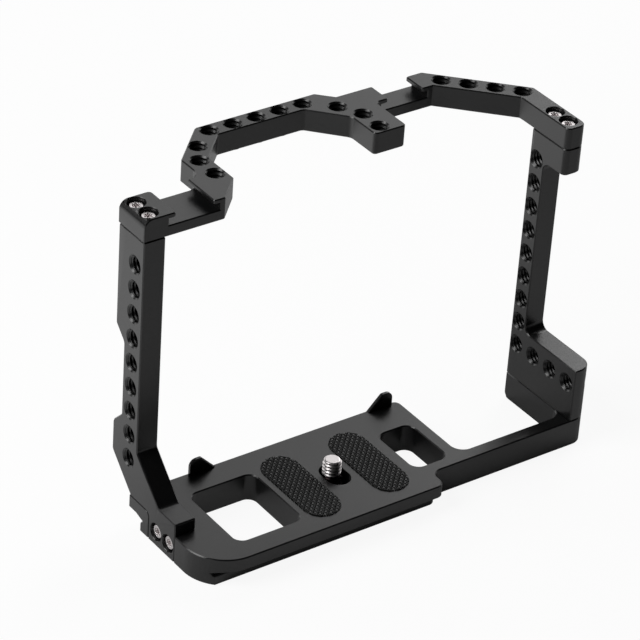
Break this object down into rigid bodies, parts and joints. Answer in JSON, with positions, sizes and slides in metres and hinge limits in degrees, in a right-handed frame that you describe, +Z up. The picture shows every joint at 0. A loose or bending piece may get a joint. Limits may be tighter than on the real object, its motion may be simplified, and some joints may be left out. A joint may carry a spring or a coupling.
{
  "type": "camera cage",
  "caption": "Open metal frame round a camera body: base plate with dovetail rail and tripod screw, side posts of threaded holes and a bowed top bridge with cold shoes.",
  "frame": {"origin": "the middle of the cage's outer box, on its underside", "axes": "+X runs from the left post to the right post, +Y to the far side where the bridge bows out, +Z up"},
  "size_m": [0.1596, 0.086, 0.115],
  "materials": {
    "black_metal": "bead blasted and anodised black, satin",
    "pad_rubber": "moulded with a fine grip pattern, matt",
    "bright_steel": "bright turned steel"
  },
  "bodies": {
    "cage": {"base_plate": "black_metal", "left_post": "black_metal", "right_post": "black_metal", "top_bridge": "black_metal", "left_pad": "pad_rubber", "right_pad": "pad_rubber", "left_top_screw_near": "bright_steel", "left_top_screw_far": "bright_steel", "right_top_screw_near": "bright_steel", "right_top_screw_far": "bright_steel", "left_foot_screw_near": "bright_steel", "left_foot_screw_far": "bright_steel", "right_base_screw_near": "bright_steel", "right_base_screw_far": "bright_steel"},
    "screw_carrier": {"retaining_ring": "bright_steel"},
    "tripod_screw": {"camera_screw": "bright_steel"}
  },
  "joints": [
    {"name": "screw_slide", "type": "slide", "parent": "cage", "child": "screw_carrier", "axis": [0, 1, 0], "range_m": [-0.0039, 0]},
    {"name": "screw_spin", "type": "hinge", "parent": "screw_carrier", "child": "tripod_screw", "pos_m": [-0.0154, -0.018, 0], "axis": [0, 0, 1], "continuous": true}
  ]
}
